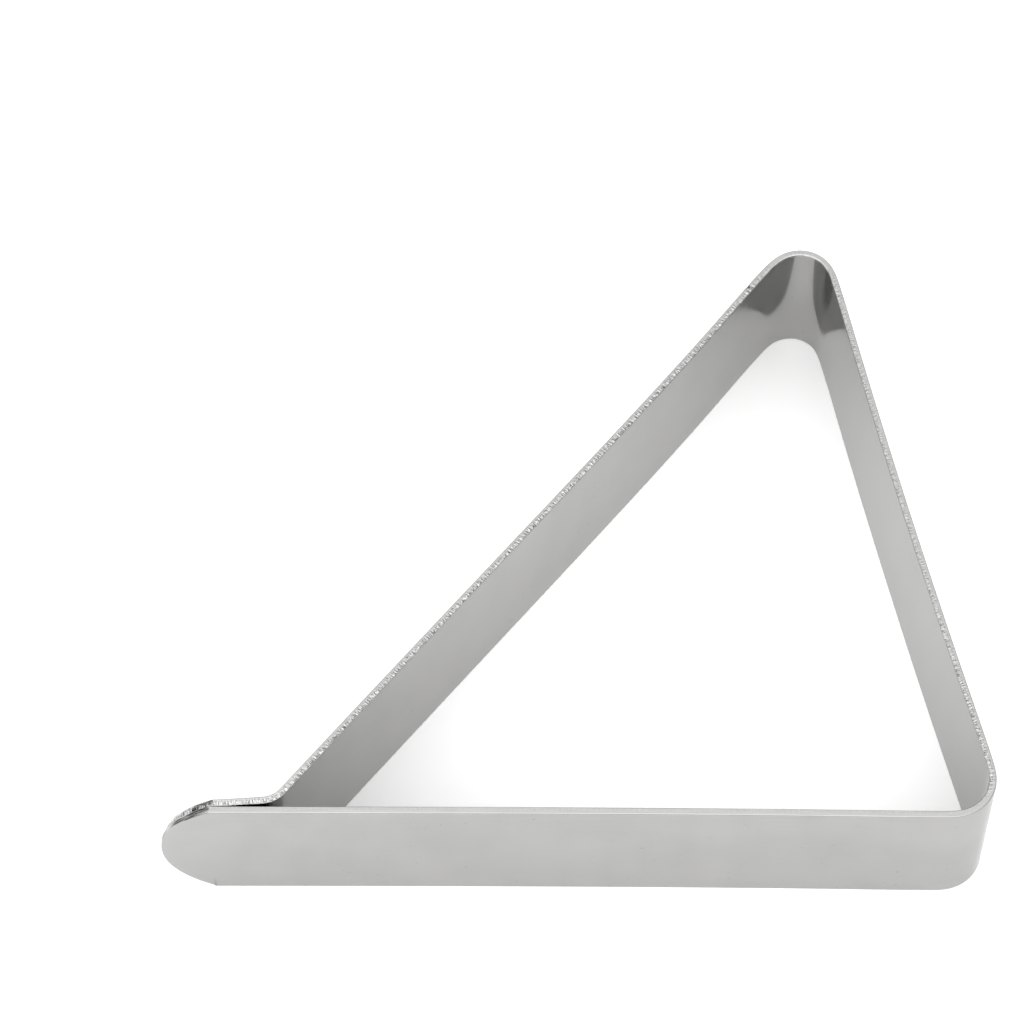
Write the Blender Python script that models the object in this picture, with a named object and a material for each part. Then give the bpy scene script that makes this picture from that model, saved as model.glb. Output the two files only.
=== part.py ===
"""One-piece sprung tablecloth clip, bent from a single strip of stainless spring steel.

The strip stands on its long edge: its width runs along +Z, and its centre line is drawn
in the XY plane. From the jaw mouth it runs along the flat leg (+X), round the heel bend,
up the back leg (+Y), round the top bend and down the spring leg to a crank, after which
the spring jaw tab lies along the flat jaw tab. Both tabs have a rounded end.

Every node is a length of that strip. A short gap parts one length from the next, and
the two gaps at the ends of the back leg hold the flexure axes about which the clip opens.
The origin is the centre of the clip's bounding box, on the edge that it stands on.
"""

import math

import bmesh
import bpy
from mathutils import Matrix, Vector

MM = 0.001

# Strip stock
STRIP_WIDTH = 10.0 * MM
STRIP_THICKNESS = 0.45 * MM

# The triangle, measured on the outer faces of the three legs
BASE_LENGTH = 45.05 * MM           # spring leg's line to back leg's line, along the flat leg
HEEL_ANGLE = math.radians(76.8)    # between the flat leg and the back leg
JAW_ANGLE = math.radians(51.1)     # between the flat leg and the spring leg
HEEL_RADIUS = 2.6 * MM             # outer face of the heel bend
TOP_RADIUS = 2.25 * MM             # outer face of the top bend
CRANK_RADIUS = 1.7 * MM            # centre line of the crank bend

# Jaw tabs
TAB_REACH = 5.85 * MM              # flat tab's tip to the spring leg's line, along the flat leg
SPRING_TAB_SETBACK = 0.2 * MM      # spring tab's tip, short of the flat tab's tip
TAB_TILT = math.radians(3.5)       # spring tab, from its tip up to the crank
TAB_GAP = 0.3 * MM                 # between the two tabs, at the tip
TAB_END_LENGTH = 6.9 * MM          # elliptical tab end: half-axis along the strip
TAB_END_HEIGHT = 5.93 * MM         # elliptical tab end: half-axis across the strip
FLAT_TAB_LENGTH = 7.4 * MM

# Where the strip is divided
NODE_GAP = 0.3 * MM                # between one length of strip and the next
BEND_STUB = 3.0 * MM               # straight run that a flexing bend keeps on the back leg

BEND_STEPS = 20
TAB_END_STEPS = 28

STEEL_COLOUR = (0.62, 0.61, 0.60, 1.0)


def direction(angle):
    return Vector((math.cos(angle), math.sin(angle)))


def left_normal(heading):
    return Vector((-heading.y, heading.x))


def crossing(point_a, heading_a, point_b, heading_b):
    """Point where two straight lines in the plane meet."""
    apart = point_b - point_a
    across = heading_a.cross(heading_b)
    return point_a + heading_a * (apart.cross(heading_b) / across)


def centre_line_corners():
    """Corners of the strip's centre line, from the flat tab's tip to the spring tab's tip."""
    half = STRIP_THICKNESS / 2
    flat_heading = direction(0.0)
    back_heading = direction(math.pi - HEEL_ANGLE)
    spring_heading = direction(math.pi + JAW_ANGLE)
    tab_heading = direction(math.pi + TAB_TILT)

    flat_point = Vector((0.0, half))
    back_point = Vector((BASE_LENGTH, 0.0)) + left_normal(back_heading) * half
    spring_point = left_normal(spring_heading) * half
    tip_height = STRIP_THICKNESS + TAB_GAP + half
    tab_tip = Vector((SPRING_TAB_SETBACK - TAB_REACH, tip_height))

    return [
        Vector((-TAB_REACH, half)),
        crossing(flat_point, flat_heading, back_point, back_heading),
        crossing(back_point, back_heading, spring_point, spring_heading),
        crossing(spring_point, spring_heading, tab_tip, tab_heading),
        tab_tip,
    ]


class Bend:
    """A circular bend that rounds one corner of the centre line."""

    def __init__(self, before, corner, after, radius):
        self.heading_in = (corner - before).normalized()
        self.heading_out = (after - corner).normalized()
        self.turn = self.heading_in.angle_signed(self.heading_out) * -1.0
        side = math.copysign(1.0, self.turn)
        tangent = radius * math.tan(abs(self.turn) / 2)
        self.start = corner - self.heading_in * tangent
        self.end = corner + self.heading_out * tangent
        self.centre = self.start + left_normal(self.heading_in) * radius * side

    def sections(self):
        """Points along the bend, each with the strip's left normal there."""
        arm = self.start - self.centre
        normal = left_normal(self.heading_in)
        found = []
        for step in range(BEND_STEPS + 1):
            turned = Matrix.Rotation(self.turn * step / BEND_STEPS, 2)
            found.append((self.centre + turned @ arm, turned @ normal))
        return found


def straight_sections(start, end):
    normal = left_normal((end - start).normalized())
    return [(start, normal), (end, normal)]


def moved_along(point, heading, distance):
    return point + heading * distance


def steel(name):
    material = bpy.data.materials.new(name + "_steel")
    material.use_nodes = True
    shader = material.node_tree.nodes["Principled BSDF"]
    shader.inputs["Base Color"].default_value = STEEL_COLOUR
    shader.inputs["Metallic"].default_value = 1.0
    shader.inputs["Roughness"].default_value = 0.3
    material.diffuse_color = STEEL_COLOUR
    return material


def add_node(name, shape, origin, parent):
    """Turn a bmesh in world coordinates into a named object whose origin is given."""
    bmesh.ops.recalc_face_normals(shape, faces=shape.faces)
    mesh = bpy.data.meshes.new(name)
    shape.to_mesh(mesh)
    shape.free()
    mesh.transform(Matrix.Translation(-origin))
    mesh.shade_smooth()
    mesh.set_sharp_from_angle(angle=math.radians(30))
    mesh.materials.append(steel(name))
    node = bpy.data.objects.new(name, mesh)
    bpy.context.collection.objects.link(node)
    place(node, origin, parent)
    return node


def place(thing, origin, parent):
    thing.location = origin
    if parent is not None:
        thing.parent = parent
        thing.location = origin - parent.matrix_world.translation


def add_strip(name, sections, origin, parent=None):
    """A length of strip that follows the given sections, with square ends."""
    half = STRIP_THICKNESS / 2
    shape = bmesh.new()
    rings = []
    for point, normal in sections:
        left = point + normal * half
        right = point - normal * half
        rings.append([
            shape.verts.new((left.x, left.y, 0.0)),
            shape.verts.new((right.x, right.y, 0.0)),
            shape.verts.new((right.x, right.y, STRIP_WIDTH)),
            shape.verts.new((left.x, left.y, STRIP_WIDTH)),
        ])
    for ring, following in zip(rings, rings[1:]):
        for corner in range(4):
            after = (corner + 1) % 4
            shape.faces.new((ring[corner], ring[after], following[after], following[corner]))
    shape.faces.new(rings[0])
    shape.faces.new(rings[-1])
    return add_node(name, shape, origin, parent)


def tab_outline(length):
    """Outline of a jaw tab as (distance from its square end, height) pairs."""
    mid = STRIP_WIDTH / 2
    end_centre = length - TAB_END_LENGTH
    widest = math.asin(mid / TAB_END_HEIGHT)
    outline = [(0.0, 0.0)]
    for step in range(TAB_END_STEPS + 1):
        angle = widest * (2 * step / TAB_END_STEPS - 1)
        along = end_centre + TAB_END_LENGTH * math.cos(angle)
        outline.append((along, mid + TAB_END_HEIGHT * math.sin(angle)))
    outline.append((0.0, STRIP_WIDTH))
    return outline


def add_tab(name, square_end, heading, length, origin, parent=None):
    """A flat jaw tab: a square end, and a rounded tip after the given length."""
    half = STRIP_THICKNESS / 2
    normal = left_normal(heading)
    shape = bmesh.new()
    face_verts = []
    for along, height in tab_outline(length):
        point = moved_along(square_end, heading, along) - normal * half
        face_verts.append(shape.verts.new((point.x, point.y, height)))
    face = shape.faces.new(face_verts)
    grown = bmesh.ops.extrude_face_region(shape, geom=[face])
    moved = [item for item in grown["geom"] if isinstance(item, bmesh.types.BMVert)]
    thickness = Vector((normal.x, normal.y, 0.0)) * STRIP_THICKNESS
    bmesh.ops.translate(shape, verts=moved, vec=thickness)
    return add_node(name, shape, origin, parent)


def add_axis(name, point, parent=None):
    """An empty on a flexure axis, which runs along +Z."""
    axis = bpy.data.objects.new(name, None)
    axis.empty_display_size = 4 * MM
    bpy.context.collection.objects.link(axis)
    place(axis, Vector((point.x, point.y, 0.0)), parent)
    bpy.context.view_layer.update()
    return axis


def clip_corners_about_origin(corners):
    """Shift the centre line so that the clip's box is centred on the origin."""
    half = STRIP_THICKNESS / 2
    flat_tip, heel, top, crank, spring_tip = corners
    heel_bend = Bend(flat_tip, heel, top, HEEL_RADIUS - half)
    top_bend = Bend(heel, top, crank, TOP_RADIUS - half)
    lowest = Vector((-TAB_REACH, 0.0))
    highest = Vector((heel_bend.centre.x + HEEL_RADIUS, top_bend.centre.y + TOP_RADIUS))
    middle = (lowest + highest) / 2
    return [corner - middle for corner in corners]


def build_clip():
    half = STRIP_THICKNESS / 2
    gap = NODE_GAP
    flat_tip, heel, top, crank, spring_tip = clip_corners_about_origin(centre_line_corners())

    heel_bend = Bend(flat_tip, heel, top, HEEL_RADIUS - half)
    top_bend = Bend(heel, top, crank, TOP_RADIUS - half)
    crank_bend = Bend(top, crank, spring_tip, CRANK_RADIUS)
    along_flat = heel_bend.heading_in
    along_back = heel_bend.heading_out
    along_spring = top_bend.heading_out
    along_tab = crank_bend.heading_out

    # Flexure axes, half a gap beyond the stub that each bend keeps
    heel_stub_end = moved_along(heel_bend.end, along_back, BEND_STUB)
    top_stub_start = moved_along(top_bend.start, along_back, -BEND_STUB)
    heel_pivot = moved_along(heel_stub_end, along_back, gap / 2)
    top_pivot = moved_along(top_stub_start, along_back, -gap / 2)
    heel_axis = add_axis("heel_flex_axis", heel_pivot)
    top_axis = add_axis("top_flex_axis", top_pivot, heel_axis)
    base_origin = Vector((0.0, 0.0, 0.0))
    back_origin = heel_pivot.to_3d()
    spring_origin = top_pivot.to_3d()

    # Flat arm, which lies on the cloth
    flat_leg_start = moved_along(flat_tip, along_flat, FLAT_TAB_LENGTH)
    flat_tab_end = moved_along(flat_leg_start, along_flat, -gap)
    flat_leg_end = moved_along(heel_bend.start, along_flat, -gap)
    add_tab("flat_jaw_tab", flat_tab_end, -along_flat, FLAT_TAB_LENGTH - gap, base_origin)
    add_strip("flat_leg", straight_sections(flat_leg_start, flat_leg_end), base_origin)
    heel_stub = (heel_stub_end, left_normal(along_back))
    add_strip("heel_bend", heel_bend.sections() + [heel_stub], base_origin)

    # Back leg, between the two flexures
    back_leg_start = moved_along(heel_stub_end, along_back, gap)
    back_leg_end = moved_along(top_stub_start, along_back, -gap)
    back_leg = straight_sections(back_leg_start, back_leg_end)
    add_strip("back_leg", back_leg, back_origin, heel_axis)

    # Spring arm, which swings away from the flat arm
    top_stub = (top_stub_start, left_normal(along_back))
    add_strip("top_bend", [top_stub] + top_bend.sections(), spring_origin, top_axis)
    spring_leg_start = moved_along(top_bend.end, along_spring, gap)
    spring_leg_end = moved_along(crank_bend.start, along_spring, -gap)
    spring_leg = straight_sections(spring_leg_start, spring_leg_end)
    add_strip("spring_leg", spring_leg, spring_origin, top_axis)
    add_strip("crank_bend", crank_bend.sections(), spring_origin, top_axis)
    spring_tab_start = moved_along(crank_bend.end, along_tab, gap)
    spring_tab_length = (spring_tip - spring_tab_start).length
    add_tab(
        "spring_jaw_tab", spring_tab_start, along_tab, spring_tab_length,
        spring_origin, top_axis,
    )


for leftover in list(bpy.data.objects):
    bpy.data.objects.remove(leftover)

build_clip()
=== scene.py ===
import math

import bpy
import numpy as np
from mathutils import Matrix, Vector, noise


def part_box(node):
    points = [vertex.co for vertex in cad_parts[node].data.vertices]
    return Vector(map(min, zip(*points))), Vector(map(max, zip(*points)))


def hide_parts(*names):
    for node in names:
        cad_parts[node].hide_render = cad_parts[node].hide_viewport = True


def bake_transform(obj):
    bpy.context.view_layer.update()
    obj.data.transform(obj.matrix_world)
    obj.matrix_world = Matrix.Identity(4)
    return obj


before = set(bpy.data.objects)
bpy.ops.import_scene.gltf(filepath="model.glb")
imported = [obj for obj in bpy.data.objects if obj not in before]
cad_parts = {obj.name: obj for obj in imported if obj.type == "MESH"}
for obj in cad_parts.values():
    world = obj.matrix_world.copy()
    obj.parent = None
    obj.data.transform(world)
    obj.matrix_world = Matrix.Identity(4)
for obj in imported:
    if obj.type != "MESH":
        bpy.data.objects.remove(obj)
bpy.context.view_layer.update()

# Looks of the sprung tablecloth clip. The clip is one bent strip of stainless steel, so the
# visible model is two closed lengths of strip that meet in the middle of the back leg. Each
# crosses one flexure: the heel strip bends between the flat arm and the back leg, and the
# top strip between the back leg and the spring arm.

MM = 0.001

# ---------------------------------------------------------------------------
# Sizes
# ---------------------------------------------------------------------------

flat_leg_low, flat_leg_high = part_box("flat_leg")
flat_tab_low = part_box("flat_jaw_tab")[0]
STRIP_WIDTH = flat_leg_high[2] - flat_leg_low[2]
STRIP_THICKNESS = flat_leg_high[1] - flat_leg_low[1]
HALF = STRIP_THICKNESS / 2

# The triangle on the outer faces of the legs, as in the CAD model
BASE_LENGTH = 45.05 * MM
HEEL_ANGLE = math.radians(76.8)
JAW_ANGLE = math.radians(51.1)
HEEL_RADIUS = 2.6 * MM
TOP_RADIUS = 2.25 * MM
CRANK_RADIUS = 1.7 * MM
CAD_TAB_REACH = 5.85 * MM
TAB_REACH = 5.89 * MM
SPRING_TAB_SETBACK = 0.2 * MM
TAB_END_LENGTH = 6.9 * MM          # the tab ends are parts of an ellipse, slightly high
TAB_END_HEIGHT = 5.93 * MM
TAB_END_MIDDLE = 5.06 * MM
TAB_STEP_START = 3.06 * MM         # small step where the punched end meets the lower edge
TAB_STEP_END = 2.98 * MM

# How the springy strip differs from the CAD model's straight legs and round bends. The ends of
# a leg stand out from the straight line, and the leg bows back in between them, most near its
# start where `early` is above 0 and near its end where it is below.
FLAT_LEG = dict(start_out=0.0 * MM, end_out=0.09 * MM, bow=0.09 * MM, early=-1.0)
BACK_LEG = dict(start_out=0.063 * MM, end_out=0.103 * MM, bow=0.197 * MM, early=0.0)
SPRING_LEG = dict(start_out=0.124 * MM, end_out=-0.059 * MM, bow=0.21 * MM, early=2.7)
STRAIGHT = dict(start_out=0.0, end_out=0.0, bow=0.0, early=0.0)
SETTLE = 0.036                     # share of a leg over which it swings into its bow
HEEL_RELAX = 0.17 * MM             # extra radius of the heel and top bends
TOP_RELAX = 0.154 * MM
BEND_RAMP = 0.6                    # share of a bend over which its curvature builds up and fades
TOP_RAMP = 0.73
TOP_SKEW = -0.25                   # the top bend is a little tighter towards the back leg
TOP_THINNING = 0.11                # forming stretched the strip thinner in the top bend
TOP_THINNED = 2.5 * MM             # and this far to both sides of its middle
TOP_WHOLLY = 1.5 * MM              # the top bend's smooth cut edge reaches this far from its middle
TOP_FADED = 3.2 * MM               # and is gone from here on
TAB_CONTACT = 3.6 * MM             # the spring tab lies on the flat tab this far from its tip
TAB_TILT = math.radians(4.2)       # and lifts off it from there to the crank
TAB_CLEARANCE = 0.012 * MM
CONTACT_RADIUS = 18.0 * MM

# Cut edges of the strip
WIDE_ROLL = 0.12 * MM              # radius of the corner that slitting rolled over on the flat arm
SHARP_ROLL = 0.035 * MM            # of the corner opposite it, which is also where relief has faded
ROLL = 0.05 * MM                   # and of both corners beyond the heel
SHEAR_DEPTH = 0.028 * MM           # how far the torn part of the edge stands in and out
RIDGE_WIDTH = 0.12 * MM            # its ridges: their width along the strip,
RIDGE_LENGTH = 0.45 * MM           # their length across it,
RIDGE_SLANT = 0.35                 # and their lean
GRAIN_WIDTH = 0.1 * MM             # the grain between them
GRAIN_LENGTH = 0.09 * MM
WAVE_LENGTH = 0.8 * MM             # longer waves where the edge is torn
POLISH_LENGTH = 6.0 * MM           # and fine lines where the shear polished it
POLISH_WIDTH = 0.05 * MM
BURR = 0.03 * MM                   # raggedness of the inner corner, where the shear tore through
BURR_LENGTH = 0.13 * MM
BURR_RISE = 0.2 * MM
TOP_INNER_ROLL = 0.11 * MM         # forming rounded the inner corners of the top bend
NICKS = (                          # (distance from the flat tab's tip, height, size, depth)
    (95.65 * MM, 10.0 * MM, 0.14 * MM, 0.105 * MM),
    (2.98 * MM, 0.13 * MM, 0.12 * MM, 0.015 * MM),
)
NICK_STRETCH = 1.3                 # a nick is this much longer across the thickness than along it
BURNISH_SHARE = 0.34               # outer part of the edge, which the shear polished
TORN_FLAT = 0.1                    # how torn the cut edge is, from 0 to 1, on the flat arm,
TORN_HEEL = 0.8                    # how much more at the heel's end,
TORN_BACK_LOSS = 0.3               # how much of that is lost along the back leg,
TORN_SPRING = 0.4                  # how much more on the spring arm,
TORN_TOP_LOSS = 0.7                # and the share that forming smoothed out in the top bend
SUPPORTS = (0.05 * MM, 0.16 * MM)  # first rows of face points beside the rolled corner

# Material slots of the strip
FACE_SLOT = 0
EDGE_SLOT = 1

# Mesh density
LEG_SAMPLES = 600                  # points of the exact centre line, on each leg and in each bend
BEND_SAMPLES = 400
LINE_STEP = 0.02 * MM              # its even points, which the mesh is worked out from
STATION_STEP = 0.049 * MM          # spacing of the mesh's rings
CORNER_STEPS = 4                   # faces round a rolled corner,
RIM_STEPS = 9                      # across a cut edge
FACE_ROWS = 8                      # and up a face
TAB_END_STEPS = 110                # rings round half a tab's end

# Studio
TENT_TOP = 1.706                   # strength of the tent's light overhead
TENT_WALL = 0.142                  # and near the horizon
TENT_LOW = 0.09                    # it changes between elevations with these sines
TENT_HIGH = 0.543
TENT_FRONT = 0.601                 # how much brighter it is in front, and darker behind
TENT_SIDE = 0.211                  # and likewise on the left and on the right
FLOOR_REACH = 1.5
FLOOR_WHITE = 0.95
FLOOR_GLOW = 0.143                 # the table is lit from below as well, as on a light box

# Steel
WARMTH = (0.995, 0.983)            # green and blue as shares of red
DARKEST = 0.02
# shade painted into the nicks darkens their colour by this much
NICK_PAINTED_SHADE = 0.45
EDGE_ON = 0.826                    # seen edge-on, the steel brightens less than a plain metal
FACE_GREY = 0.369
FACE_ROUGHNESS = 0.15
SCRATCH_DARKENING = 0.02
SPECK_DARKENING = 0.09
FACE_RELIEF = 0.0035               # in mm, as is the cut edge's
EDGE_GREY = 0.507
EDGE_ROUGHNESS = 0.24
EDGE_RELIEF = 0.011
CRANK_START = 141.7                # the spring arm's last stretch is brighter, from this far in mm
CRANK_BRIGHTENING = 0.10

# Camera
LENS = 160.96
EYE = Vector((-0.0070278, -0.142894, 0.254752))
TARGET = Vector((-0.0038304, 0.0065229, 0.0))
ROLL_ANGLE = math.radians(1.3614)


# ---------------------------------------------------------------------------
# Centre line of the strip
# ---------------------------------------------------------------------------

def direction(angle):
    return np.array([math.cos(angle), math.sin(angle)])


def left_of(heading):
    return np.array([-heading[1], heading[0]])


def crossing(point_a, heading_a, point_b, heading_b):
    """Point where two straight lines in the plane meet."""
    matrix = np.array([heading_a, -heading_b]).T
    return point_a + heading_a * np.linalg.solve(matrix, point_b - point_a)[0]


def centre_line_corners():
    """Corners of the centre line, from the flat tab's tip to the spring tab's tip."""
    flat_heading = direction(0.0)
    back_heading = direction(math.pi - HEEL_ANGLE)
    spring_heading = direction(math.pi + JAW_ANGLE)
    tab_heading = direction(math.pi + TAB_TILT)
    jaw = np.array([flat_tab_low[0] + CAD_TAB_REACH, flat_leg_low[1]])

    flat_tip = jaw + np.array([-TAB_REACH, HALF])
    back_point = jaw + np.array([BASE_LENGTH, 0.0]) + left_of(back_heading) * HALF
    spring_point = jaw + left_of(spring_heading) * HALF
    lying_height = STRIP_THICKNESS + TAB_CLEARANCE + HALF
    contact = jaw + np.array([TAB_CONTACT - TAB_REACH, lying_height])
    return [
        flat_tip,
        crossing(flat_tip, flat_heading, back_point, back_heading),
        crossing(back_point, back_heading, spring_point, spring_heading),
        crossing(spring_point, spring_heading, contact, tab_heading),
        contact,
        jaw + np.array([SPRING_TAB_SETBACK - TAB_REACH, lying_height]),
    ]


def spread(corners, legs):
    """Moves the corners so that the ends of each leg stand out from the straight line."""
    lines = []
    for start, end, leg in zip(corners, corners[1:], legs):
        out = -left_of(end - start) / np.linalg.norm(end - start)
        start, end = start + out * leg["start_out"], end + out * leg["end_out"]
        lines.append((start, end, (end - start) / np.linalg.norm(end - start)))
    middle = [
        crossing(before[0], before[2], after[0], after[2])
        for before, after in zip(lines, lines[1:])
    ]
    return [lines[0][0]] + middle + [lines[-1][1]]


def leg_points(start, end, leg):
    """A leg between two bends, bowed to the left of its heading."""
    def settled(share):
        return share - SETTLE * (1 - np.exp(-share / SETTLE))

    shares = np.linspace(0, 1, LEG_SAMPLES)
    bow = settled(shares) * settled(1 - shares) * np.exp(-leg["early"] * shares)
    left = left_of(end - start) / np.linalg.norm(end - start)
    return start + np.outer(shares, end - start) + np.outer(bow * (leg["bow"] / bow.max()), left)


def bend_points(before, corner, after, radius, ramp, skew):
    """A bend round a corner, as deep as a round one of this radius.

    Its curvature builds up over the first half of the ramp and fades over the last half. A skew
    above 0 makes it tighter towards its far end, and one below 0 towards its start.
    """
    heading_in = (corner - before) / np.linalg.norm(corner - before)
    heading_out = (after - corner) / np.linalg.norm(after - corner)
    turn = math.atan2(heading_in[0] * heading_out[1] - heading_in[1] * heading_out[0],
                      float(heading_in @ heading_out))
    shares = (np.arange(BEND_SAMPLES) + 0.5) / BEND_SAMPLES
    level = np.clip(np.minimum(shares, 1 - shares) * 2 / ramp, 0, 1)
    curvature = level * level * (3 - 2 * level) * (1 + skew * (2 * shares - 1))
    curvature *= turn / curvature.sum()
    angles = math.atan2(heading_in[1], heading_in[0]) + np.cumsum(curvature) - curvature / 2
    steps = np.column_stack([np.cos(angles), np.sin(angles)])
    path = np.vstack([(0.0, 0.0), np.cumsum(steps, axis=0)])
    path_corner = crossing(path[0], heading_in, path[-1], heading_out)
    depth = np.linalg.norm(path - path_corner, axis=1).min()
    return corner + (path - path_corner) * (radius * (1 / math.cos(turn / 2) - 1) / depth)


class CentreLine:
    """The strip's centre line in plan, measured by distance from the flat tab's tip."""

    def __init__(self, corners, bends, legs):
        corners = spread(corners, legs)
        pieces = []
        start = corners[0]
        for index, shape in enumerate(bends):
            bend = bend_points(*corners[index:index + 3], *shape)
            pieces += [leg_points(start, bend[0], legs[index]), bend]
            start = bend[-1]
        pieces.append(leg_points(start, corners[-1], legs[-1]))
        lengths = [np.linalg.norm(np.diff(piece, axis=0), axis=1).sum() for piece in pieces]
        self.edges = np.concatenate([[0.0], np.cumsum(lengths)])
        self.length = float(self.edges[-1])

        points = np.vstack([pieces[0]] + [piece[1:] for piece in pieces[1:]])
        steps = np.linalg.norm(np.diff(points, axis=0), axis=1)
        along = np.concatenate([[0.0], np.cumsum(steps)])
        self.count = math.ceil(self.length / LINE_STEP)
        evenly = np.linspace(0, self.length, self.count + 1)
        self.points = np.column_stack([np.interp(evenly, along, points[:, axis]) for axis in (0, 1)])
        headings = np.gradient(self.points, axis=0)
        headings /= np.linalg.norm(headings, axis=1)[:, None]
        self.normals = np.column_stack([-headings[:, 1], headings[:, 0]])

    def at(self, distance):
        """The point, and the strip's left normal, at a distance along the strip."""
        place = min(max(distance / self.length, 0.0), 1.0) * self.count
        index = min(int(place), self.count - 1)
        share = place - index
        point = self.points[index] + (self.points[index + 1] - self.points[index]) * share
        normal = self.normals[index] + (self.normals[index + 1] - self.normals[index]) * share
        return point, normal

    def begins(self, run):
        return float(self.edges[run])

    def ends(self, run):
        return float(self.edges[run + 1])

    def middle(self, run):
        return (self.begins(run) + self.ends(run)) / 2


# Runs of the centre line, counted from the flat leg
HEEL_RUN, BACK_RUN, TOP_RUN = 1, 2, 3


def smooth_step(value, low, high):
    """A value that rises smoothly from 0 at low to 1 at high."""
    share = min(1.0, max(0.0, (value - low) / (high - low)))
    return share * share * (3 - 2 * share)


# ---------------------------------------------------------------------------
# The strip as a mesh
# ---------------------------------------------------------------------------

def thickness_share(line, distance):
    """The strip's thickness as a share of the nominal one."""
    return 1 - TOP_THINNING * math.exp(-((distance - line.middle(TOP_RUN)) / TOP_THINNED) ** 4)


def top_bend_share(line, distance):
    """1 in the top bend, fading to 0 on the legs beside it."""
    return 1 - smooth_step(abs(distance - line.middle(TOP_RUN)), TOP_WHOLLY, TOP_FADED)


def rolled_radii(line, distance, high):
    """Radii of a cut edge's inner and outer corners.

    high is 0 on the lower edge and 1 on the upper one. Slitting rolls opposite corners of the two.
    """
    arm = 1 - smooth_step(distance, line.begins(HEEL_RUN), line.ends(HEEL_RUN) + 1.0 * MM)
    rolled = ROLL + (WIDE_ROLL - ROLL) * arm
    sharp = ROLL + (SHARP_ROLL - ROLL) * arm
    inner = rolled + (sharp - rolled) * high
    inner += (TOP_INNER_ROLL - inner) * top_bend_share(line, distance)
    return inner, sharp + (rolled - sharp) * high


def edge_profile(inner, outer):
    """The cut edge in section, from its inner corner: (depth in from the edge, place across)."""
    steps = [math.pi / 2 * step / CORNER_STEPS for step in range(CORNER_STEPS + 1)]
    first = [(inner * (1 - math.sin(a)), HALF - inner * (1 - math.cos(a))) for a in steps]
    last = [(outer * (1 - math.sin(a)), -HALF + outer * (1 - math.cos(a))) for a in steps[::-1]]
    start, end = first[-1][1], last[0][1]
    middle = [(0.0, start + (end - start) * step / RIM_STEPS) for step in range(1, RIM_STEPS)]
    return first + middle + last


def torn_share(line, distance):
    """How rough the cut edge is: smooth on the flat arm, torn where the shear left it raw."""
    heel, top = line.ends(HEEL_RUN), line.ends(TOP_RUN)
    gained = TORN_HEEL * smooth_step(distance, heel - 4.0 * MM, heel - 1.0 * MM)
    lost = TORN_BACK_LOSS * smooth_step(distance, heel, heel + 16.0 * MM)
    spring = TORN_SPRING * smooth_step(distance, top - 2.0 * MM, top + 3.0 * MM)
    torn = TORN_FLAT + (gained - lost) + spring
    return torn * (1 - TORN_TOP_LOSS * top_bend_share(line, distance))


def shear_relief(line, distance, height, across):
    """Depth of the cut edge's relief: lengthwise polish lines, and torn ridges across the edge."""
    torn = torn_share(line, distance)
    burnished = 2 * BURNISH_SHARE - 1
    torn_zone = smooth_step(across / HALF, burnished - 0.25, burnished + 0.25)
    slant = distance + RIDGE_SLANT * across
    rise = height / RIDGE_WIDTH
    ridge = noise.noise(Vector((slant / RIDGE_WIDTH, across / RIDGE_LENGTH, rise)))
    grain = noise.noise(Vector((distance / GRAIN_WIDTH, across / GRAIN_LENGTH, rise + 9.0)))
    wave = noise.noise(Vector((distance / WAVE_LENGTH, 0.0, height / WAVE_LENGTH)))
    relief = torn * (0.3 + 0.7 * torn_zone) * (0.8 * ridge + 0.6 * grain) + 0.3 * torn * wave
    line_place = Vector((distance / POLISH_LENGTH, across / POLISH_WIDTH, height / POLISH_LENGTH))
    return SHEAR_DEPTH * (relief + 0.1 * noise.noise(line_place))


def nick_at(distance, height, across):
    """The nick in the strip's outer corners that a point lies in: (depth, share from 0 to 1)."""
    shares = []
    for place, level, size, depth in NICKS:
        from_corner = (across + HALF) / NICK_STRETCH
        away = Vector((distance - place, height - level, from_corner)).length / size
        shares.append((math.exp(-away * away), depth))
    share, depth = max(shares)
    return depth * share, share


def burr(line, distance, height, across):
    """How far the ragged inner corner of a torn edge leans out or in across the strip."""
    near = smooth_step(across / HALF, 0.45, 1.0) * torn_share(line, distance)
    return BURR * near * noise.noise(Vector((distance / BURR_LENGTH, 3.0, height / BURR_RISE)))


def tab_outline(side):
    """A tab end's lower (side -1) or upper (side 1) outline, from the straight edge to the tip.

    Each item is (distance from the tip, height, outward away from the tip, outward up).
    """
    steps = TAB_END_STEPS
    points = []
    if side < 0:
        points.append((TAB_STEP_START, 0.0))
        widest = math.acos(1 - TAB_STEP_END / TAB_END_LENGTH)
        steps -= 1
    else:
        widest = math.asin((STRIP_WIDTH - TAB_END_MIDDLE) / TAB_END_HEIGHT)
    for step in range(steps + 1):
        angle = widest * (1 - step / steps)
        points.append((TAB_END_LENGTH * (1 - math.cos(angle)),
                       TAB_END_MIDDLE + side * TAB_END_HEIGHT * math.sin(angle)))
    points = np.array(points)
    headings = np.diff(points, axis=0)
    headings /= np.linalg.norm(headings, axis=1)[:, None]
    headings = np.vstack([(-1.0, 0.0), headings, (0.0, -side)])
    found = []
    for point, before, after in zip(points, headings, headings[1:]):
        turn = before + after
        outward = np.array([turn[1], -turn[0]]) * side * 2 / float(turn @ turn)
        found.append((point[0], point[1], outward[0], outward[1]))
    return found


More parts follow.
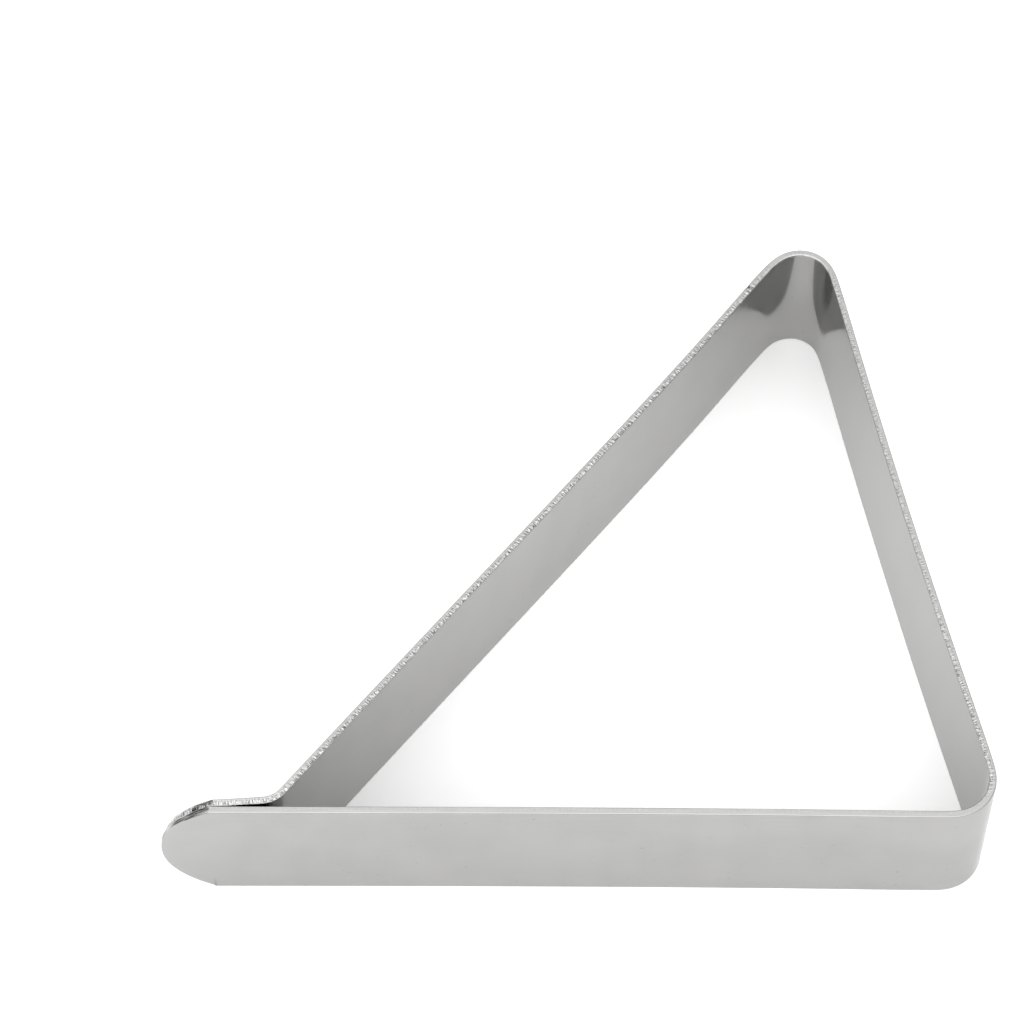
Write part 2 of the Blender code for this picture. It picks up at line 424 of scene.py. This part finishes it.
class StripMesh:
    """A closed length of strip, from a square seam to a rounded tab tip."""

    def __init__(self, line, seam, tip):
        self.line = line
        self.toward = math.copysign(1.0, tip - seam)
        self.points = []
        self.places = []
        self.at_ends = []
        self.nicks = []
        ends = [
            [(tip - self.toward * from_tip, height, -self.toward * out_along, out_up, 1.0)
             for from_tip, height, out_along, out_up in tab_outline(side)]
            for side in (-1, 1)
        ]
        corner_at = ends[1][0][0]
        steps = math.ceil(abs(corner_at - seam) / STATION_STEP)
        self.rows = []
        for step in range(steps):
            distance = seam + (corner_at - seam) * step / steps
            low_edge = (distance, 0.0, 0.0, -1.0, 0.0)
            high_edge = (distance, STRIP_WIDTH, 0.0, 1.0, 0.0)
            self.rows.append((low_edge, high_edge))
        self.rows += list(zip(*ends))

    def add(self, distance, height, across, at_end, nick):
        centre, normal = self.line.at(distance)
        place = centre + normal * across * thickness_share(self.line, distance)
        self.points.append((place[0], place[1], height))
        self.places.append((distance, height, across))
        self.at_ends.append(at_end)
        self.nicks.append(nick)
        return len(self.points) - 1

    def rim(self, edge):
        """Points across a cut edge, from its inner corner to its outer corner."""
        distance, height, out_along, out_up, at_end = edge
        found = []
        for depth, across in edge_profile(*rolled_radii(self.line, distance, height / STRIP_WIDTH)):
            fade = 1.0 - 0.8 * min(1.0, depth / SHARP_ROLL)
            depth += shear_relief(self.line, distance, height, across) * fade
            nick_depth, nick = nick_at(distance, height, across)
            depth += nick_depth
            across += burr(self.line, distance, height, across)
            along, up = distance - depth * out_along, height - depth * out_up
            found.append(self.add(along, up, across, at_end, nick))
        return found

    def face_point(self, low, high, share, across):
        """A face point on the straight line between two edge points."""
        start, end = self.places[low], self.places[high]
        distance, height = (start[axis] + (end[axis] - start[axis]) * share for axis in (0, 1))
        return self.add(distance, height, across, 0.0, nick_at(distance, height, across)[1])

    def rings(self):
        """Closed rings of points round the strip, from the seam to the tip."""
        near = [support / STRIP_WIDTH for support in SUPPORTS]
        rows = [row / FACE_ROWS for row in range(1, FACE_ROWS)]
        levels = near + rows + [1 - share for share in near[::-1]]
        found = []
        for low_edge, high_edge in self.rows[:-1]:
            lower, upper = self.rim(low_edge), self.rim(high_edge)
            outer = [self.face_point(lower[-1], upper[-1], share, -HALF) for share in levels]
            inner = [self.face_point(lower[0], upper[0], share, HALF) for share in levels[::-1]]
            found.append(lower + outer + upper[::-1] + inner)
        tip = self.rim(self.rows[-1][0])
        found.append(tip + [tip[-1]] * len(levels) + tip[::-1] + [tip[0]] * len(levels))
        return found

    def ring_slots(self, ring):
        """Material slot of each face that starts on a ring: FACE_SLOT or EDGE_SLOT.

        The cut edges have the cut edge's look; on the top bend's rounded inner corners its brighter
        grey adds a painted highlight to their real one.
        """
        # in the top bend the rounded inner corners take the brighter edge grey as a painted highlight
        painted_highlight = top_bend_share(self.line, self.places[ring[0]][0]) > 0.5
        inner_slot = EDGE_SLOT if painted_highlight else FACE_SLOT
        rim = [inner_slot] * CORNER_STEPS + [EDGE_SLOT] * RIM_STEPS + [FACE_SLOT] * CORNER_STEPS
        face = [FACE_SLOT] * ((len(ring) - 2 * len(rim)) // 2)
        return rim + face + rim[::-1] + face

    def faces(self):
        """The strip's faces, each with its material slot. The last one closes the seam."""
        rings = self.rings()
        faces, slots = [], []
        for ring, following in zip(rings, rings[1:]):
            for corner, slot in enumerate(self.ring_slots(ring)):
                after = (corner + 1) % len(ring)
                quad = [ring[corner], ring[after], following[after], following[corner]]
                corners = [vertex for index, vertex in enumerate(quad) if vertex != quad[index - 1]]
                if len(set(corners)) > 2:
                    faces.append(corners[::-1] if self.toward > 0 else corners)
                    slots.append(slot)
        faces.append(rings[0] if self.toward > 0 else rings[0][::-1])
        slots.append(FACE_SLOT)
        return faces, slots

    def build(self, name):
        faces, slots = self.faces()
        mesh = bpy.data.meshes.new(name)
        mesh.from_pydata(self.points, [], faces)
        mesh.polygons.foreach_set("material_index", slots)
        strip = mesh.attributes.new("strip", "FLOAT_VECTOR", "POINT")
        strip.data.foreach_set("vector", (np.array(self.places) / MM).ravel())
        values = {
            "torn": [torn_share(self.line, place[0]) for place in self.places],
            "at_end": self.at_ends,
            "nicked": self.nicks,
        }
        for value_name, value in values.items():
            mesh.attributes.new(value_name, "FLOAT", "POINT").data.foreach_set("value", value)
        mesh.update()
        mesh.shade_smooth()
        mesh.set_sharp_from_angle(angle=math.radians(60))
        piece = bpy.data.objects.new(name, mesh)
        bpy.context.collection.objects.link(piece)
        return piece


# ---------------------------------------------------------------------------
# Materials
# ---------------------------------------------------------------------------

class Steel:
    """A node material whose patterns follow the strip.

    Places are in mm: x along the strip, y up its width and z through its thickness.
    """

    def __init__(self, name):
        self.material = bpy.data.materials.new(name)
        self.material.use_nodes = True
        self.nodes = self.material.node_tree.nodes
        self.links = self.material.node_tree.links
        self.shader = self.nodes["Principled BSDF"]
        self.shader.inputs["Metallic"].default_value = 1.0
        self.shader.inputs["Specular Tint"].default_value = (EDGE_ON, EDGE_ON, EDGE_ON, 1.0)
        self.place = self.attribute("strip").outputs["Vector"]

    def attribute(self, name):
        node = self.nodes.new("ShaderNodeAttribute")
        node.attribute_name = name
        return node

    def mapped(self, place, scale=(1.0, 1.0, 1.0), offset=(0.0, 0.0, 0.0), angle=0.0):
        node = self.nodes.new("ShaderNodeMapping")
        node.inputs["Scale"].default_value = scale
        node.inputs["Rotation"].default_value = (0.0, 0.0, angle)
        node.inputs["Location"].default_value = offset
        self.links.new(place, node.inputs["Vector"])
        return node.outputs["Vector"]

    def noise_at(self, place, detail, roughness=0.5):
        node = self.nodes.new("ShaderNodeTexNoise")
        node.inputs["Scale"].default_value = 1.0
        node.inputs["Detail"].default_value = detail
        node.inputs["Roughness"].default_value = roughness
        self.links.new(place, node.inputs["Vector"])
        return node.outputs["Fac"]

    def noise(self, scale, detail=3.0, roughness=0.5, offset=(0.0, 0.0, 0.0)):
        """Noise from 0 to 1 with its own number of cells per mm in each direction."""
        return self.noise_at(self.mapped(self.place, scale, offset), detail, roughness)

    def span(self, value, low, high, out_low, out_high):
        """A value between low and high, carried over to between out_low and out_high."""
        node = self.nodes.new("ShaderNodeMapRange")
        node.inputs["From Min"].default_value = low
        node.inputs["From Max"].default_value = high
        node.inputs["To Min"].default_value = out_low
        node.inputs["To Max"].default_value = out_high
        self.links.new(value, node.inputs["Value"])
        return node.outputs["Result"]

    def maths(self, operation, left, right):
        node = self.nodes.new("ShaderNodeMath")
        node.operation = operation
        for socket, value in zip(node.inputs, (left, right)):
            if isinstance(value, float):
                socket.default_value = value
            else:
                self.links.new(value, socket)
        return node.outputs["Value"]

    def product(self, *values):
        result = values[0]
        for value in values[1:]:
            result = self.maths("MULTIPLY", result, value)
        return result

    def total(self, *values):
        result = values[0]
        for value in values[1:]:
            result = self.maths("ADD", result, value)
        return result

    def colour(self, grey):
        """Base colour from a grey: darkened by painted shade in the nicks, and very slightly warm."""
        nicked = self.attribute("nicked").outputs["Fac"]
        grey = self.maths("SUBTRACT", grey, self.product(nicked, NICK_PAINTED_SHADE))
        grey = self.maths("MAXIMUM", grey, DARKEST)
        green_share, blue_share = WARMTH
        node = self.nodes.new("ShaderNodeCombineColor")
        self.links.new(grey, node.inputs["Red"])
        self.links.new(self.product(grey, green_share), node.inputs["Green"])
        self.links.new(self.product(grey, blue_share), node.inputs["Blue"])
        self.links.new(node.outputs["Color"], self.shader.inputs["Base Color"])

    def roughness(self, value):
        self.links.new(value, self.shader.inputs["Roughness"])

    def relief(self, height, depth):
        """Bump whose height runs from 0 to 1 over a depth in mm."""
        node = self.nodes.new("ShaderNodeBump")
        node.inputs["Distance"].default_value = depth * MM
        self.links.new(height, node.inputs["Height"])
        self.links.new(node.outputs["Normal"], self.shader.inputs["Normal"])

    def scratch_lines(self, angle, spacing, offset):
        """Sparse hairline scratches at an angle to the strip: 1 on a scratch and 0 off it."""
        turned = self.mapped(self.place, offset=offset, angle=angle)
        squeezed = self.mapped(turned, scale=(0.35, 1 / spacing, 1.0))
        return self.span(self.noise_at(squeezed, detail=2.0), 0.70, 0.74, 0.0, 1.0)


def face_steel():
    """Rolled face: near-mirror, with rolling grain, faint smudges, hairlines and a few specks."""
    steel = Steel("stainless_face")
    grain = steel.noise((0.12, 9.0, 1.0), detail=4.0, roughness=0.6)
    blotch = steel.noise((0.16, 0.3, 1.0), detail=3.0, offset=(3.0, 1.0, 0.0))
    smudge = steel.noise((0.5, 0.22, 1.0), detail=2.0, offset=(11.0, 5.0, 2.0))
    hairlines = steel.total(
        steel.scratch_lines(0.45, 0.11, (2.0, 0.0, 0.0)),
        steel.scratch_lines(-0.9, 0.13, (0.0, 7.0, 0.0)),
    )
    speckle = steel.noise((3.4, 3.4, 1.0), detail=1.0, offset=(5.0, 2.0, 8.0))
    waves = steel.noise((0.35, 0.3, 1.0), detail=1.0, offset=(1.0, 4.0, 3.0))
    specks = steel.span(speckle, 0.75, 0.79, 0.0, 1.0)
    grey = steel.total(
        steel.span(grain, 0.3, 0.7, -0.006, 0.006),
        steel.span(blotch, 0.3, 0.7, -0.010, 0.010),
        steel.span(smudge, 0.35, 0.65, -0.006, 0.006),
        steel.span(hairlines, 0.0, 1.0, FACE_GREY, FACE_GREY - SCRATCH_DARKENING),
    )
    steel.colour(steel.maths("SUBTRACT", grey, steel.product(specks, SPECK_DARKENING)))
    steel.roughness(steel.total(
        steel.span(blotch, 0.3, 0.7, FACE_ROUGHNESS - 0.03, FACE_ROUGHNESS + 0.03),
        steel.span(grain, 0.3, 0.7, -0.02, 0.02),
        steel.product(hairlines, 0.08),
    ))
    steel.relief(steel.total(
        steel.product(grain, 0.25),
        steel.product(waves, 0.9),
        steel.product(hairlines, -0.12),
    ), FACE_RELIEF)
    return steel.material


def edge_steel():
    """Cut edge: drawn lines where smooth; where torn, strokes of grain with painted glints and shade.
    """
    steel = Steel("stainless_cut_edge")
    torn = steel.attribute("torn").outputs["Fac"]
    split = steel.nodes.new("ShaderNodeSeparateXYZ")
    steel.links.new(steel.place, split.inputs["Vector"])
    along, across = split.outputs["X"], split.outputs["Z"]
    half = HALF / MM
    burnished = half * (2 * BURNISH_SHARE - 1)
    torn_zone = steel.span(across, burnished - 0.03, burnished + 0.05, 0.15, 1.0)
    inner_lip = steel.span(across, half - 0.12, half - 0.03, 0.0, 1.0)

    drawn = steel.noise((0.5, 0.5, 14.0), detail=2.0)
    grain = steel.noise((12.0, 12.0, 12.0), detail=2.0, roughness=0.65)
    strokes = steel.noise((11.0, 1.4, 2.2), detail=1.0, offset=(2.0, 3.0, 1.0))
    # dark spots along the torn inner lip are painted shadows of the burr
    painted_burr_shadows = steel.noise((7.0, 7.0, 2.0), detail=1.0, offset=(6.0, 1.0, 4.0))
    # the torn part's bright and dark strokes are its own grain together with painted glints and
    # painted shade of its facets
    torn_grain_and_glints = steel.total(
        steel.span(grain, 0.38, 0.62, -0.15, 0.12),
        steel.span(strokes, 0.40, 0.60, -0.25, 0.20),
    )
    # the rims of the rounded tab ends get a painted dark reflection: their colour is darkened in
    # streaks
    painted_end_reflection = steel.noise((0.9, 0.9, 16.0), detail=2.0, offset=(4.0, 9.0, 0.0))
    at_end = steel.attribute("at_end").outputs["Fac"]
    steel.colour(steel.total(
        steel.span(drawn, 0.3, 0.7, EDGE_GREY - 0.03, EDGE_GREY + 0.03),
        steel.product(torn, torn_zone, torn_grain_and_glints),
        steel.product(torn, inner_lip, steel.span(painted_burr_shadows, 0.46, 0.58, 0.0, -0.40)),
        steel.span(along, CRANK_START - 3.0, CRANK_START + 1.5, 0.0, CRANK_BRIGHTENING),
        steel.product(at_end, steel.span(painted_end_reflection, 0.4, 0.6, -0.46, 0.02)),
    ))
    steel.roughness(steel.total(
        steel.span(torn, 0.0, 1.0, EDGE_ROUGHNESS + 0.12, EDGE_ROUGHNESS),
        steel.span(grain, 0.3, 0.7, -0.06, 0.06),
    ))
    steel.relief(steel.total(
        steel.product(drawn, 0.5),
        steel.product(torn, torn_zone, steel.total(grain, strokes)),
    ), EDGE_RELIEF)
    return steel.material


# ---------------------------------------------------------------------------
# Studio
# ---------------------------------------------------------------------------

def studio():
    """A white table in a light tent, brightest overhead and dimmer towards the horizon."""
    scene = bpy.context.scene
    world = bpy.data.worlds.new("studio")
    scene.world = world
    world.use_nodes = True
    nodes, links = world.node_tree.nodes, world.node_tree.links
    background = nodes["Background"]
    coordinates = nodes.new("ShaderNodeTexCoord")
    split = nodes.new("ShaderNodeSeparateXYZ")
    links.new(coordinates.outputs["Generated"], split.inputs[0])
    rise = nodes.new("ShaderNodeMapRange")
    rise.interpolation_type = "SMOOTHSTEP"
    rise.inputs["From Min"].default_value = TENT_LOW
    rise.inputs["From Max"].default_value = TENT_HIGH
    rise.inputs["To Min"].default_value = TENT_WALL
    rise.inputs["To Max"].default_value = TENT_TOP
    links.new(split.outputs["Z"], rise.inputs["Value"])
    strength = rise.outputs["Result"]
    for axis, lean in (("Y", TENT_FRONT), ("X", TENT_SIDE)):
        slope = nodes.new("ShaderNodeMapRange")
        slope.inputs["From Min"].default_value = -1.0
        slope.inputs["From Max"].default_value = 1.0
        slope.inputs["To Min"].default_value = 1.0 + lean
        slope.inputs["To Max"].default_value = 1.0 - lean
        links.new(split.outputs[axis], slope.inputs["Value"])
        product = nodes.new("ShaderNodeMath")
        product.operation = "MULTIPLY"
        links.new(strength, product.inputs[0])
        links.new(slope.outputs["Result"], product.inputs[1])
        strength = product.outputs["Value"]
    links.new(strength, background.inputs["Strength"])
    background.inputs["Color"].default_value = (1.0, 1.0, 1.0, 1.0)

    mesh = bpy.data.meshes.new("floor")
    corners = [(x * FLOOR_REACH, y * FLOOR_REACH, 0) for x, y in ((-1, -1), (1, -1), (1, 1), (-1, 1))]
    mesh.from_pydata(corners, [], [(0, 1, 2, 3)])
    floor = bpy.data.objects.new("floor", mesh)
    bpy.context.collection.objects.link(floor)
    material = bpy.data.materials.new("white_table")
    material.use_nodes = True
    shader = material.node_tree.nodes["Principled BSDF"]
    shader.inputs["Base Color"].default_value = (FLOOR_WHITE, FLOOR_WHITE, FLOOR_WHITE, 1.0)
    shader.inputs["Roughness"].default_value = 0.9
    shader.inputs["Emission Color"].default_value = (1.0, 1.0, 1.0, 1.0)
    shader.inputs["Emission Strength"].default_value = FLOOR_GLOW
    mesh.materials.append(material)
    scene.view_settings.view_transform = "Standard"


def camera():
    """A long lens that looks down at the clip from in front of its flat leg."""
    data = bpy.data.cameras.new("camera")
    data.sensor_width = 36.0
    data.lens = LENS
    data.clip_start = 0.01
    look = (TARGET - EYE).to_track_quat("-Z", "Y").to_matrix()
    turned = look @ Matrix.Rotation(ROLL_ANGLE, 3, "Z")
    view = bpy.data.objects.new("camera", data)
    view.matrix_world = Matrix.Translation(EYE) @ turned.to_4x4()
    bpy.context.collection.objects.link(view)
    bpy.context.scene.camera = view


# ---------------------------------------------------------------------------
# The clip
# ---------------------------------------------------------------------------

camera()
studio()

line = CentreLine(
    centre_line_corners(),
    bends=[
        (HEEL_RADIUS + HEEL_RELAX - HALF, BEND_RAMP, 0.0),
        (TOP_RADIUS + TOP_RELAX - HALF, TOP_RAMP, TOP_SKEW),
        (CRANK_RADIUS, BEND_RAMP, 0.0),
        (CONTACT_RADIUS, BEND_RAMP, 0.0),
    ],
    legs=[FLAT_LEG, BACK_LEG, SPRING_LEG, STRAIGHT, STRAIGHT],
)
seam = line.middle(BACK_RUN)
heel_strip = StripMesh(line, seam, 0.0).build("heel_strip")
top_strip = StripMesh(line, seam, line.length).build("top_strip")
slot_materials = [face_steel(), edge_steel()]      # in the order of FACE_SLOT and EDGE_SLOT
for piece in (heel_strip, top_strip):
    for material in slot_materials:
        piece.data.materials.append(material)

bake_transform(heel_strip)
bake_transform(top_strip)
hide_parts("flat_jaw_tab", "flat_leg", "heel_bend", "back_leg")
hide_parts("top_bend", "spring_leg", "crank_bend", "spring_jaw_tab")
